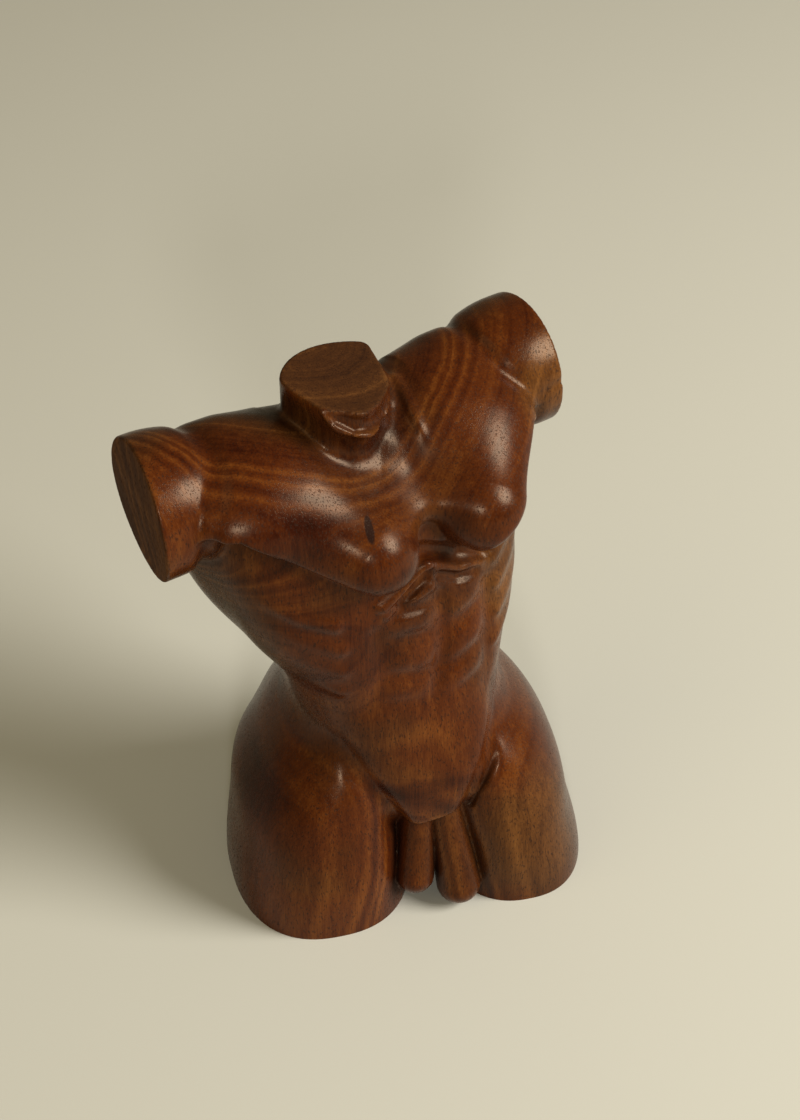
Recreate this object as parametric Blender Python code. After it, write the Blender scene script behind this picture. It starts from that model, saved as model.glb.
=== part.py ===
"""A carved wooden torso: one solid block, cut flat through both thighs, both arms and the neck."""

import math

import bmesh
import bpy
import numpy as np
import openvdb
from mathutils import Matrix

HEIGHT = 0.250  # floor to the high corner of the neck cut, in metres
CELL = 0.60  # spacing of the samples that the skin is drawn through, in shares
COARSE = 4  # the first samples stand this many times wider apart
NEAR = 2.2  # fine samples are taken this many coarse cells from the surface
BLOCK = 400000  # samples worked out at a time
FAR = 10.0  # the distance given to all samples farther off
MOST_FACETS = 9400

# Every length below is a share of the height, in hundredths. The figure faces -y, and x runs to
# its own left.
TOP = 101.12  # the high corner of the neck, as the shares below have it
UNIT = HEIGHT / TOP

# Pose: the chest turns on the hips, and the spine leans to the figure's right
TWIST = math.radians(19)
TWIST_FROM, TWIST_TO = 32, 66
HIP_X = 1.1
LEAN = 8.2
LEAN_FROM, LEAN_TO = 20, 96

# Flat cuts
ARM_CUTS = (33.3, 33.7)  # from the middle to the end of each arm, the figure's right arm first
ARMS = ((1.6, 86.9, 10.9), (0.2, 88.5, 10.5))  # y and z of each arm's axis and the radius at its end
ARM_ENDS = ((0.992, 0.117, 0.047), (1.0, 0.0, 0.0))  # the way each end faces
NECK_CUT = 99.0
NECK_SLOPE = 0.24
# The flats round the neck: the way each faces, in degrees from +x to -y, and how far out it stands
NECK_FACETS = ((14, 7.4), (38, 7.7), (60, 8.7), (120.5, 11.0), (165, 9.65))
RIM = 0.45  # how far the edges of the cuts are eased

# The masses that differ from side to side, the figure's right first
# The round end of each half of the chest: its middle, its radius, how far inside it the notch is,
# and where its lower edge starts to rise towards the arm
PECS = ((6.1, -16.7, 79.3, 6.9, 5.9, 8.8), (13.4, -16.9, 79.7, 7.5, 10.2, 9.8))
THIGHS = ((15.4, 15.4), (17.9, 13.0))  # middle and half width of each cut end
MIDLINE = 1.5  # the belly's middle line stands this far to the figure's left
GAP = 2.6  # half the gap between the thighs
GAP_X = 1.5
GAP_TOP = 18.5

BOX_LOW = (-46, -30, -4)
BOX_HIGH = (46, 26, 106)


def ease(value, start, end):
    """0 below start, 1 above end, smooth in between."""
    share = np.clip((value - start) / (end - start), 0, 1)
    return share * share * (3 - 2 * share)


def spine_x(z):
    """Where the middle of the body is at height z."""
    return HIP_X - LEAN * ease(z, LEAN_FROM, LEAN_TO)


def straighten(p):
    """Takes points of the posed figure back to the upright one that the masses are set out on."""
    turn = TWIST * ease(p[2], TWIST_FROM, TWIST_TO)
    x = p[0] - spine_x(p[2])
    cos, sin = np.cos(turn), np.sin(turn)
    return np.stack([x * cos + p[1] * sin, p[1] * cos - x * sin, p[2]])


def offset(p, centre):
    return p - np.asarray(centre, np.float32).reshape(3, *[1] * (p.ndim - 1))


def mirrored(p, side):
    """The figure with its left side, or for side -1 its right side, on +x."""
    return np.stack([p[0] * side, p[1], p[2]])


def turned(q, axis, degrees):
    """Points turned about x, y or z (axis 0, 1 or 2), which tips a form the other way."""
    a, b = [(1, 2), (2, 0), (0, 1)][axis]
    cos, sin = math.cos(math.radians(degrees)), math.sin(math.radians(degrees))
    out = list(q)
    out[a] = q[a] * cos + q[b] * sin
    out[b] = q[b] * cos - q[a] * sin
    return np.stack(out)


def ellipsoid(p, centre, radii, turns=()):
    """Distance to an ellipsoid, tipped by (axis, degrees) turns."""
    q = offset(p, centre)
    for axis, degrees in turns:
        q = turned(q, axis, degrees)
    near = np.sqrt(sum((q[i] / radii[i]) ** 2 for i in range(3)))
    slope = np.sqrt(sum((q[i] / radii[i] ** 2) ** 2 for i in range(3)))
    return near * (near - 1) / np.maximum(slope, 1e-6)


def along(p, start, end):
    """How far along a line each point is, from 0 to 1, and how far from it."""
    line = np.subtract(end, start)
    q = offset(p, start)
    share = np.clip(sum(q[i] * line[i] for i in range(3)) / (line @ line), 0, 1)
    return share, np.sqrt(sum((q[i] - share * line[i]) ** 2 for i in range(3)))


def taper(p, start, end, radius_start, radius_end):
    """Distance to a round bar between two points, with a radius at each."""
    share, gap = along(p, start, end)
    return gap - (radius_start + (radius_end - radius_start) * share)


def stroke(p, path):
    """What a gouge adds along a path of x, y, z, width and height, or takes off where height is below 0."""
    best = np.zeros(p.shape[1:], np.float32)
    nearest = np.full(p.shape[1:], 1e9, np.float32)
    for start, end in zip(path, path[1:]):
        share, gap = along(p, start[:3], end[:3])
        width = start[3] + (end[3] - start[3]) * share
        height = start[4] + (end[4] - start[4]) * share
        near = (gap / width) ** 2
        best = np.where(near < nearest, height * np.exp(-np.minimum(near, 30)), best)
        nearest = np.minimum(near, nearest)
    return best


def smooth_through(z, heights, values):
    """A smooth curve through the values given at some heights, level beyond the first and the last."""
    slopes = np.gradient(values, heights)
    slopes[0] = slopes[-1] = 0
    z = np.clip(z, heights[0], heights[-1])
    i = np.clip(np.searchsorted(heights, z, side="right") - 1, 0, len(heights) - 2)
    step = (heights[i + 1] - heights[i]).astype(z.dtype)
    t = (z - heights[i]) / step
    t2, t3 = t * t, t * t * t
    return (
        (2 * t3 - 3 * t2 + 1) * values[i]
        + (t3 - 2 * t2 + t) * step * slopes[i]
        + (3 * t2 - 2 * t3) * values[i + 1]
        + (t3 - t2) * step * slopes[i + 1]
    )


def stack(p, rows):
    """Distance to a form given by its level sections.

    A row holds the height, the middle's x, half the width, the front, the back and how square the
    section is.
    """
    rows = np.array(rows, float)
    middle, wide, front, back, power = (smooth_through(p[2], rows[:, 0], rows[:, i]) for i in range(1, 6))
    centre_y = (back - front) / 2
    deep = (back + front) / 2
    u, v = np.abs(p[0] - middle) / wide, np.abs(p[1] - centre_y) / deep
    near = (u**power + v**power) ** (1 / power)
    slope = np.sqrt((u ** (power - 1) / wide) ** 2 + (v ** (power - 1) / deep) ** 2)
    slope = slope / np.maximum(near, 1e-3) ** (power - 1)
    form = (near - 1) / np.maximum(slope, 1 / (wide + deep))
    return np.maximum(form, p[2] - rows[-1, 0])


def join(a, b, blend):
    """Both forms, with a soft fillet where they meet."""
    share = np.clip(0.5 + 0.5 * (b - a) / blend, 0, 1)
    return b + (a - b) * share - blend * share * (1 - share)


def common(a, b, blend):
    """What two forms share, with a soft edge."""
    return -join(-a, -b, blend)


def thigh(m, middle, wide):
    """A thigh, whose cut end has its middle and half its width given."""
    rows = [
        (-6, middle, wide, 25.1, 14.0, 2.4),
        (0, middle, wide, 25.1, 14.0, 2.4),
        (12, 6.6 + 0.55 * middle, wide - 1.05, 24.9, 15.0, 2.3),
        (20, 14.8, 6.2 + 0.45 * wide, 23.6, 15.8, 2.3),
        (28, 12.7, 10.9, 21.2, 14.0, 2.2),
        (35, 9.8, 9.0, 17.4, 13.5, 2.1),
        (42, 8.0, 6.9, 13.0, 10.5, 2.1),
        (50, 7.0, 5.0, 7.0, 6.0, 2.1),
    ]
    return stack(m, rows)


def trunk(q):
    rows = [
        (12, 0.0, 8.0, 12.0, 10.0, 2.3),
        (20, 0.0, 13.0, 18.6, 14.0, 2.3),
        (30, 0.0, 17.4, 20.0, 14.0, 2.3),
        (40, 0.0, 16.9, 20.0, 12.5, 2.3),
        (50, -0.1, 18.9, 19.3, 12.0, 2.4),
        (60, -0.5, 23.2, 18.6, 13.0, 2.5),
        (70, -0.3, 25.4, 18.2, 14.0, 2.4),
        (78, 0.0, 26.0, 17.2, 13.2, 2.3),
        (84, 0.0, 24.6, 14.6, 10.6, 2.3),
        (90, 0.0, 17.0, 10.4, 5.6, 2.3),
        (96, 0.0, 7.0, 5.0, 2.6, 2.3),
    ]
    return stack(q, rows)


def arm(m, y, z, end_radius):
    """The stub of an arm, slightly fuller before its flat end."""
    places = np.array([14.0, 22.0, 24.0, 29.0, 34.0])
    radius = smooth_through(m[0], places, end_radius * np.array([0.68, 0.84, 0.89, 0.99, 1.0]))
    round_gap = np.hypot(m[1] - y, m[2] - z) - radius
    return np.maximum(round_gap, 12 - m[0])


def pec(m, x, y, z, radius, notch, rise):
    """Half of the chest: a round end over the ribs, which runs out to the arm and up to the collarbone."""
    form = ellipsoid(m, (0.7 * x + 4.4, -6.6, 83.8), (13.4, 12.0, 7.5), [(0, 30)])
    outer = ellipsoid(m, (18.4, -5.0, 88.6), (13.0, 11.2, 7.0), [(0, 24), (1, 8)])
    end = taper(m, (x, y, z), (x + 6, y + 8, z + 4.6), radius, radius - 1.4)
    form = join(join(form, outer, 4), end, 5)
    edge = 73.4 + 0.92 * np.clip(m[0] - rise, 0, 16)
    edge = edge + 2.6 * np.exp(-(((m[0] - x + notch) / 3.0) ** 2))
    under = (edge - m[2] - 0.1 * (m[1] + 21)) * 0.85
    return common(form, under, 0.7 + 2.0 * np.exp(-(((m[0] - x) / 6) ** 2)))


def neck(q):
    """The neck, flat on its sides and round behind, with its cut sloping down to the figure's left."""
    form = np.hypot(q[0] - 3.6, q[1] + 7.0) - 15.2
    for degrees, away in NECK_FACETS:
        way = math.radians(degrees)
        form = common(form, q[0] * math.cos(way) - q[1] * math.sin(way) - away, 1.5)
    top = (q[2] + NECK_SLOPE * q[0] - NECK_CUT) / math.hypot(1, NECK_SLOPE)
    return np.maximum(common(form, top, RIM), 80 - q[2])


def belly(q):
    """The lower belly, which narrows to a wedge with a crisp lower edge between the thighs."""
    rows = [
        (18, 1.7, 4.6, 21.2, 0.0, 4.0),
        (22, 1.7, 6.0, 21.6, 0.0, 4.0),
        (27, 1.6, 8.5, 21.8, 0.0, 3.8),
        (32, 1.5, 10.9, 21.6, 0.0, 3.4),
        (38, 1.0, 12.8, 20.9, 0.0, 3.0),
        (45, 0.0, 13.4, 20.0, 0.0, 2.6),
        (52, 0.0, 13.0, 18.6, 0.0, 2.4),
    ]
    form = stack(q, rows)
    floor = 20.7 + 0.26 * (q[0] - 1.0) + 0.55 * (q[1] + 21.6) - q[2]
    return common(form, floor, 0.5)


def lobes(q):
    """The two tapered lobes that hang below the belly's edge."""
    right = taper(q, (-0.2, -17.6, 21), (-1.5, -20.9, 7.6), 2.8, 3.3)
    root = taper(q, (-2.0, -16.0, 21), (-2.6, -19.6, 5.0), 1.8, 1.8)
    right = join(right, root, 0.8)
    left = taper(q, (4.0, -17.8, 22), (6.0, -21.6, 4.2), 3.0, 3.8)
    return join(right, left, 0.25)


def masses(q, sides):
    body = trunk(q)
    for m, (middle, wide) in zip(sides, THIGHS):
        body = join(body, thigh(m, middle, wide), 2.2)
        body = join(body, ellipsoid(m, (10.6, 9.2, 22.4), (10.2, 9.6, 11.0)), 2.5)
        body = join(body, ellipsoid(m, (18.2, 5.4, 71.5), (9.0, 8.4, 20.5), [(1, 12)]), 5)
    for m in sides:
        body = join(body, taper(m, (3, -0.4, 84.6), (19, 0.5, 87.6), 9.0, 9.2), 3)
        body = join(body, ellipsoid(m, (11.5, 8.6, 76.8), (8.4, 5.0, 8.4), [(1, -10)]), 5)
    for m, axis in zip(sides, ARMS):
        body = join(body, arm(m, *axis), 1.2)
    blend = 3.0 + 7.0 * ease(q[2], 77, 85)
    chest = join(pec(sides[0], *PECS[0]), pec(sides[1], *PECS[1]), blend)
    body = join(body, chest, 0.8)
    body = join(body, ellipsoid(q, (0.2, -4.6, 85.6), (8.6, 8.2, 7.0)), 4)
    return join(body, neck(q), 1.4)


def gouge(q, width, height, *points):
    """One stroke of even width and height through some points."""
    return stroke(q, [(*point, width, height) for point in points])


def arch_carving(q):
    """The arch of the ribs below the chest: a ridge to each side, with a hollow above and below it."""
    marks = gouge(q, 1.2, 0.8, (2.0, -18.6, 74.2), (4.4, -18.6, 72.2), (7.2, -18.5, 70.4), (11.7, -17.7, 69))
    marks = marks + gouge(q, 0.8, -1.3, (3.8, -17.9, 70.4), (6.8, -17.8, 68.4), (9.9, -18.0, 67.8))
    marks = marks + gouge(q, 1.2, -1.8, (1.8, -17.4, 76.2), (4.9, -17.2, 74.4), (8.2, -17.1, 72.3))
    marks = marks + gouge(q, 1.2, -1.4, (8.6, -17.1, 72.1), (12.4, -17.0, 70.4))
    marks = marks + gouge(q, 1.2, 1.0, (1.7, -18.8, 74.1), (-1.5, -19.2, 72.5), (-6.8, -18.6, 69.4))
    marks = marks + gouge(q, 1.1, -1.2, (1.2, -18.1, 71.9), (-0.9, -17.9, 69.9), (-3.6, -17.9, 68.2))
    return marks + gouge(q, 0.8, 0.6, (1.6, -18.2, 69.2), (-0.8, -18.5, 68.7), (-6.5, -18.3, 67.4))


def belly_carving(q):
    """Three rows of muscle to each side of the belly's middle line, and the furrows round them."""
    marks = gouge(q, 1.3, -0.7, (2.9, -18.6, 67), (2.8, -18.8, 58), (2.0, -19.0, 51))
    marks = marks + gouge(q, 1.0, -0.4, (2.0, -19.0, 51), (1.3, -19.8, 43))
    for height, bulge in ((64.2, 0.7), (56.8, 0.7), (50.8, 0.5)):
        marks = marks + gouge(q, 2.0, bulge, (-4.2, -19.0, height + 0.7), (-0.8, -19.2, height - 0.3))
        marks = marks + gouge(q, 2.0, bulge, (5.4, -19.0, height - 0.6), (8.6, -18.5, height + 0.5))
        marks = marks + gouge(q, 1.4, -0.5 * bulge, (-6.0, -19.0, height - 2.4), (1.6, -19.0, height - 3.9))
        marks = marks + gouge(q, 1.4, -0.5 * bulge, (3.8, -19.0, height - 4.2), (10.2, -18.4, height - 2.3))
    marks = marks + gouge(q, 1.1, -0.6, (-5.0, -18.6, 67.0), (2.2, -18.5, 65.9))
    marks = marks + gouge(q, 1.6, -0.5, (-8.6, -18.0, 64), (-7.8, -19.0, 55), (-8.8, -19.3, 47))
    return marks + gouge(q, 1.6, -0.5, (12.0, -16.8, 64), (11.6, -17.4, 55), (12.2, -17.6, 46))


def trunk_carving(q, sides):
    """The strokes of the gouge over the ribs, the belly and the back."""
    marks = arch_carving(q) + belly_carving(q)
    marks = marks + stroke(q, [(0, 9, 92, 1.5, -0.4), (0, 14.5, 78, 2.0, -1.3), (0, 12, 50, 2.0, -1.5)])
    marks = marks + stroke(q, [(0, 12, 50, 2.0, -1.0), (0, 14, 34, 1.6, -1.0)])
    marks = marks + stroke(q, [(0, 15, 34, 1.2, -0.6), (0, 18, 26, 1.6, -3.6), (0.5, 18, 14, 2.0, -3.0)])
    for m in sides:
        for step in range(4):
            high = 73.0 - 5.2 * step
            rib = [(22.0 - 0.8 * step, -11.5 + 0.6 * step, high, 1.3, 0.2)]
            rib += [(18.6 - 0.7 * step, -13.9 + 0.5 * step, high - 2.6, 1.2, 1.1)]
            rib += [(14.4 - 0.4 * step, -16.4 + 0.3 * step, high - 5.0, 1.2, 0.9)]
            marks = marks + stroke(m, rib)
        fold = [(7, 16, 11, 1.6, -0.6), (15, 16.6, 10.4, 1.6, -0.9), (23, 14, 12, 1.6, -0.3)]
        marks = marks + stroke(m, fold)
        beside = [(4.2, 13.5, 36, 2.4, 0.7), (4.6, 12.5, 52, 2.4, 0.9), (5, 14.5, 68, 2.4, 0.4)]
        marks = marks + stroke(m, beside)
        blade = [(6, 14.5, 84, 1.8, -0.2), (6, 15.4, 78, 1.8, -0.4), (10, 15.6, 71, 2.0, -0.6)]
        marks = marks + stroke(m, blade)
    return marks


def shoulder_carving(q, sides):
    """Where the arms part from the chest, and the hollows beside the neck."""
    collar = [(-8.0, -8.2, 100.2, 0.6, 0.4), (-6.8, -9.6, 98.2, 0.7, 0.8), (-4.2, -11.2, 96.4, 0.7, 0.9)]
    collar += [(-1.2, -11.4, 95.4, 0.7, 0.9), (2.6, -9.4, 95.2, 0.6, 0.6), (5.2, -6.0, 96.4, 0.6, 0.3)]
    scoop = [(-5.4, -9.9, 99.0, 1.0, -0.6), (-2.4, -11.2, 97.6, 1.2, -0.9)]
    scoop += [(2.0, -9.6, 97.0, 1.2, -0.7), (5.0, -6.2, 97.0, 0.8, -0.3)]
    tendon = [(-6.6, -9.8, 97.4, 0.9, 0.5), (-5.2, -11.2, 94.4, 1.0, 0.9), (-2.0, -13.4, 91.2, 1.2, 0.3)]
    ridge = [(9.2, 0.5, 96.2, 0.8, 0.3), (8.3, -5.0, 94.8, 0.8, 0.6)]
    ridge += [(7.6, -9.4, 93.2, 0.9, 0.5), (7.0, -13, 91.2, 1.2, 0.2)]
    furrow = [(5.8, -6.6, 94.6, 0.9, -0.8), (4.2, -9.8, 93.2, 1.1, -1.2), (3.4, -12.8, 91.6, 1.4, -0.7)]
    dish = [(-3.4, -11.4, 92.4, 3.0, -0.9), (0.2, -12.2, 90.6, 3.4, -1.5), (3.0, -13.0, 89.4, 3.2, -1.0)]
    marks = stroke(q, collar) + stroke(q, scoop) + stroke(q, tendon) + stroke(q, ridge) + stroke(q, furrow)
    marks = marks + stroke(q, dish)
    beside = [(-10.6, -1.5, 98.0, 1.5, -0.7), (-9.2, -7.5, 96.6, 1.5, -1.3), (-7.4, -11.6, 94, 1.5, -0.6)]
    marks = marks + stroke(q, beside)
    for m in sides:
        valley = [(24.4, 11, 92, 1.3, -0.7), (23.0, 3, 96.8, 1.3, -0.8), (22.9, -2.5, 97.0, 1.2, -0.9)]
        valley += [(24.2, -7.6, 95.0, 1.2, -0.9), (26.6, -10.8, 92.3, 1.1, -0.8)]
        valley += [(28.8, -12.4, 89.0, 1.0, -0.6)]
        marks = marks + stroke(m, valley)
        crease = [(34.5, -10.4, 90.2, 0.6, -1.0), (30.4, -10.9, 89.6, 0.7, -1.2)]
        crease += [(28.4, -12.4, 88.6, 0.9, -1.2)]
        marks = marks + stroke(m, crease)
        pit = [(28.6, -11.5, 87.6, 1.0, -1.2), (28.6, -8.0, 81.5, 1.1, -1.0), (28.2, -3.0, 78.2, 1.2, -0.6)]
        marks = marks + stroke(m, pit)
    return marks


def hip_carving(q):
    """The creases where the thighs meet the belly, which deepen towards the wedge."""
    right = [(-15.5, -15, 40.5, 2.0, -0.2), (-11.6, -18.4, 35.3, 1.6, -0.7), (-8.9, -20.3, 29.8, 1.1, -0.9)]
    right += [(-6.2, -21.2, 25.4, 0.8, -1.0), (-4.0, -20.8, 20.6, 0.7, -0.8)]
    left = [(14.6, -16.0, 44, 1.8, -0.2), (13.6, -18.0, 37.4, 1.3, -0.7), (12.4, -19.0, 31.8, 1.1, -1.0)]
    left += [(10.4, -20.0, 27.1, 1.0, -1.0), (8.4, -20.2, 22.6, 0.8, -0.8)]
    return stroke(q, right) + stroke(q, left)


def cuts(q):
    """Forms taken out of the block with a crisp edge: above 0 inside them."""
    cleft = taper(q, (8.4, 0.8, 97.4), (4.7, -9.6, 94.4), 0.2, 1.6)
    rows = [
        (-8, GAP_X, GAP + 0.3, 40, 40, 2.0),
        (8, GAP_X, GAP, 40, 40, 2.0),
        (GAP_TOP, GAP_X, GAP * 0.4, 40, 40, 2.0),
    ]
    gap = stack(q, rows)
    return cleft, gap


def figure(p):
    """Signed distance, roughly, to the figure: below 0 inside."""
    q = straighten(p)
    sides = [mirrored(q, side) for side in (-1, 1)]
    body = masses(q, sides)
    crisp, gap = cuts(q)
    body = common(body, -crisp, 0.35)
    body = body - trunk_carving(q, sides) - shoulder_carving(q, sides)
    body = join(body, belly(q), 0.9) - hip_carving(q)
    body = common(body, -gap, 1.5)
    body = join(body, lobes(q), 0.5)
    for m, (out, back, up), axis, length in zip(sides, ARM_ENDS, ARMS, ARM_CUTS):
        end = (out * m[0] + back * m[1] + up * (m[2] - axis[1])) / math.hypot(out, back, up)
        body = common(body, end - length, RIM)
    return body


def skin(field, cell):
    """The surface where the field is zero, as corners and faces, in shares of the height."""
    low = np.array(BOX_LOW, np.float32)
    counts = [math.ceil((high - start) / cell / COARSE) for start, high in zip(BOX_LOW, BOX_HIGH)]
    middles = [low[i] + (np.arange(counts[i]) + 0.5) * COARSE * cell for i in range(3)]
    rough = field(np.stack(np.meshgrid(*middles, indexing="ij")).astype(np.float32))
    near = np.abs(rough) < NEAR * COARSE * cell
    values = np.sign(rough).astype(np.float32) * FAR
    for axis in range(3):
        near = np.repeat(near, COARSE, axis)
        values = np.repeat(values, COARSE, axis)
    places = np.argwhere(near)
    for start in range(0, len(places), BLOCK):
        some = places[start : start + BLOCK]
        values[tuple(some.T)] = field((some * cell + low).T.astype(np.float32))
    grid = openvdb.FloatGrid(FAR)
    grid.copyFromArray(np.ascontiguousarray(values))
    corners, quads = grid.convertToQuads()
    return corners * cell + low, quads


def wood():
    material = bpy.data.materials.new("oiled_wood")
    material.use_nodes = True
    shader = material.node_tree.nodes["Principled BSDF"]
    shader.inputs["Base Color"].default_value = (0.13, 0.045, 0.016, 1)
    shader.inputs["Roughness"].default_value = 0.38
    shader.inputs["Metallic"].default_value = 0.0
    return material


def add_torso():
    corners, quads = skin(figure, CELL)
    mesh = bpy.data.meshes.new("torso")
    mesh.from_pydata((corners * UNIT).tolist(), [], quads.tolist())
    mesh.materials.append(wood())
    obj = bpy.data.objects.new("torso", mesh)
    bpy.context.scene.collection.objects.link(obj)
    fewer = obj.modifiers.new("fewer facets", "DECIMATE")
    fewer.ratio = MOST_FACETS / (2 * len(quads))
    bpy.context.view_layer.update()
    graph = bpy.context.evaluated_depsgraph_get()
    plain = bpy.data.meshes.new_from_object(obj.evaluated_get(graph))
    obj.modifiers.clear()
    obj.data = plain
    saw_flat(plain)
    stand_on_origin(plain)
    plain.shade_smooth()
    plain.set_sharp_from_angle(angle=math.radians(50))
    return obj


def saw_flat(mesh):
    """Cuts the thighs off flat at the floor."""
    form = bmesh.new()
    form.from_mesh(mesh)
    everything = form.verts[:] + form.edges[:] + form.faces[:]
    bmesh.ops.bisect_plane(form, geom=everything, plane_co=(0, 0, 0), plane_no=(0, 0, -1), clear_outer=True)
    rim = [edge for edge in form.edges if edge.is_boundary]
    bmesh.ops.holes_fill(form, edges=rim)
    bmesh.ops.triangulate(form, faces=form.faces[:])
    form.to_mesh(mesh)
    form.free()


def stand_on_origin(mesh):
    """Moves the figure so that the middle of its underside's box is the origin."""
    corners = np.empty(len(mesh.vertices) * 3, np.float32)
    mesh.vertices.foreach_get("co", corners)
    corners = corners.reshape(-1, 3)
    middle = (corners.min(0) + corners.max(0)) / 2
    mesh.transform(Matrix.Translation((-middle[0], -middle[1], 0)))


def main():
    for obj in list(bpy.data.objects):
        bpy.data.objects.remove(obj)
    add_torso()


if __name__ == "__main__":
    main()
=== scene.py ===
"""A carved wooden torso: its skin, its oiled and ringed wood, the floor, the lights and the camera."""

import math

import bmesh
import bpy
import numpy as np
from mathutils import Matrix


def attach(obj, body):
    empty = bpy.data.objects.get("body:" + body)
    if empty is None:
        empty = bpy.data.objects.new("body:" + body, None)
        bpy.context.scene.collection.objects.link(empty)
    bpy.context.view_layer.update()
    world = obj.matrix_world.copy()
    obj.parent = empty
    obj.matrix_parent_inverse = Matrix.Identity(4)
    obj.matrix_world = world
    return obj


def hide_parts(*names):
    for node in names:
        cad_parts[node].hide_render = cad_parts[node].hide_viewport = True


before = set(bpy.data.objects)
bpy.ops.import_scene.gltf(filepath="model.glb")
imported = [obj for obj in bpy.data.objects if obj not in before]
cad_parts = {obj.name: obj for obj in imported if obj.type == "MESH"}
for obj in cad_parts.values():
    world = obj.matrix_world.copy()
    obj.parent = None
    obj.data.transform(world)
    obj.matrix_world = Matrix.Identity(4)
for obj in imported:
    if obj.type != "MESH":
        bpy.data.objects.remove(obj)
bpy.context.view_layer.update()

import openvdb
from mathutils import Matrix, Vector

HEIGHT = 0.250  # floor to the high corner of the neck cut, in metres
CELL = 0.36  # spacing of the samples that the skin is drawn through, in shares
COARSE = 4  # the first samples stand this many times wider apart
NEAR = 2.2  # fine samples are taken this many coarse cells from the surface
BLOCK = 400000  # samples worked out at a time
FAR = 10.0  # the distance given to all samples farther off
MOST_FACETS = 190000
SLOPE_REACH = 0.15  # how far to each side the field is sampled to find its slope
WAY_OUT_REACH = 0.3  # the same, where only the way out of the wood is wanted
SETTLES = 2  # how often the skin's points are moved towards the true surface
MOST_MOVE = 0.3  # the farthest that a point is moved at a time
HOLLOW_REACHES = (0.8, 1.8, 4.0)  # how far out of the wood a hollow is looked for, for the painted shade in it
WORN_REACHES = (0.5, 1.0)  # how far into the wood an edge is looked for
SHARP = math.radians(50)  # an edge between facets that turn by more than this stays sharp

# Every length below is a share of the height, in hundredths.
# The figure faces -y, and x runs to its own left.
TOP = 101.12  # the high corner of the neck, as the shares below have it
UNIT = HEIGHT / TOP
MIDDLE = (-4.535, -2.214)  # x and y of the middle of the figure's box, where the part has its origin

# Pose: the chest turns on the hips, and the spine leans to the figure's right
TWIST = math.radians(19)
TWIST_FROM, TWIST_TO = 32, 66
HIP_X = 1.1
LEAN = 8.2
LEAN_FROM, LEAN_TO = 20, 96

# Flat cuts
ARM_CUTS = (33.3, 33.7)  # from the middle to the end of each arm, the figure's right arm first
ARMS = ((1.6, 86.9, 10.9), (0.2, 88.5, 10.5))  # y and z of each arm's axis and the radius at its end
ARM_ENDS = ((0.992, 0.117, 0.047), (1.0, 0.0, 0.0))  # the way each end faces
NECK_CUT = 99.0
NECK_SLOPE = 0.24
# The flats round the neck: the way each faces, in degrees from +x to -y, and how far out it stands
NECK_FACETS = ((14, 7.4), (38, 7.7), (60, 8.7), (120.5, 11.0), (165, 9.65))
RIM = 0.45  # how far the edges of the cuts are eased

# The masses that differ from side to side, the figure's right first
# The round end of each half of the chest: its middle, its radius, how far inside it the notch is,
# and where its lower edge starts to rise towards the arm
PECS = ((6.1, -16.7, 79.3, 6.9, 5.9, 8.8), (13.4, -16.9, 79.7, 7.5, 10.2, 9.8))
THIGHS = ((15.4, 15.4), (17.9, 13.0))  # middle and half width of each cut end
GAP = 2.6  # half the gap between the thighs
GAP_X = 1.5
GAP_TOP = 18.5

# The room that the skin is looked for in
BOX_LOW = (-46, -30, -4)
BOX_HIGH = (46, 26, 106)

# The camera, fitted to the outline
CAMERA_AZIMUTH = math.radians(-14)
CAMERA_ELEVATION = math.radians(42)
CAMERA_AWAY = 318
CAMERA_AIM = (2.2, 0.0, 60.2)
CAMERA_LENS = 64.03
SENSOR = 36

# The lights: name, azimuth and elevation in degrees, distance and width in metres, power and colour
LIGHTS = (
    ("window", 62, 34, 2.2, 1.1, 78, (1.0, 0.97, 0.93)),
    ("lamp", -12, 25, 2.6, 0.34, 24, (1.0, 0.97, 0.93)),
    ("fill", -70, 50, 2.2, 1.4, 6, (1.0, 0.86, 0.56)),
)
LIGHTS_AIM = (0, 0, 0.13)  # in metres
SURROUND_COLOUR = (1.0, 0.86, 0.52)
SURROUND_STRENGTH = 0.22
FLOOR_HALF = 4.0  # half the floor's width, in metres
FLOOR_COLOUR = (0.475, 0.463, 0.395)
FLOOR_ROUGHNESS = 0.9

# The wood. The log's pith passes behind the figure's right shoulder, and comes forward below the ribs
# In the chest: its x at the floor, what each share of height adds to it, and the same for its y
PITH_CHEST = (-44.5, 0.30, 4.6, 0.08)
PITH_HIPS = (-13.0, 0.28)  # in the hips, where its x is 0: the same for its y
PITH_STEP = 13.0  # how many shares of rings lie between the two
PITH_FROM, PITH_TO = 60, 80
YEARS = (  # years of lighter or darker wood: distance from the pith, half the width and how much lighter
    (20.0, 1.1, 0.12),
    (26.9, 0.9, 0.17),
    (28.2, 0.7, 0.13),
    (29.3, 0.7, -0.12),
    (30.7, 1.0, 0.15),
    (35.5, 1.4, 0.14),
)
PATCHES = (  # lighter and darker parts of the block: middle, radii and how much lighter
    ((-21, -20, 86), (11, 9, 8), -0.15),
    ((-24, -9, 25), (11, 11, 9), -0.17),
    ((-20, -4, 94), (14, 10, 6), -0.06),
    ((0.5, -9, 92), (8, 5, 4), -0.13),
    ((0.5, -20.5, 38), (9, 7, 9), 0.10),
    ((0, -21, 29.5), (10, 4, 2.8), -0.16),
    ((-18, -22, 7), (16, 10, 13), 0.12),
    ((20, -22, 14), (12, 12, 22), 0.15),
    ((17, -12, 66), (8, 10, 20), 0.14),
    ((27, -2, 91), (10, 12, 11), 0.20),
    ((-2, -18, 60), (11, 6, 9), -0.04),
    ((-14, -20, 86), (7, 7, 7), -0.12),
)
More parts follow.
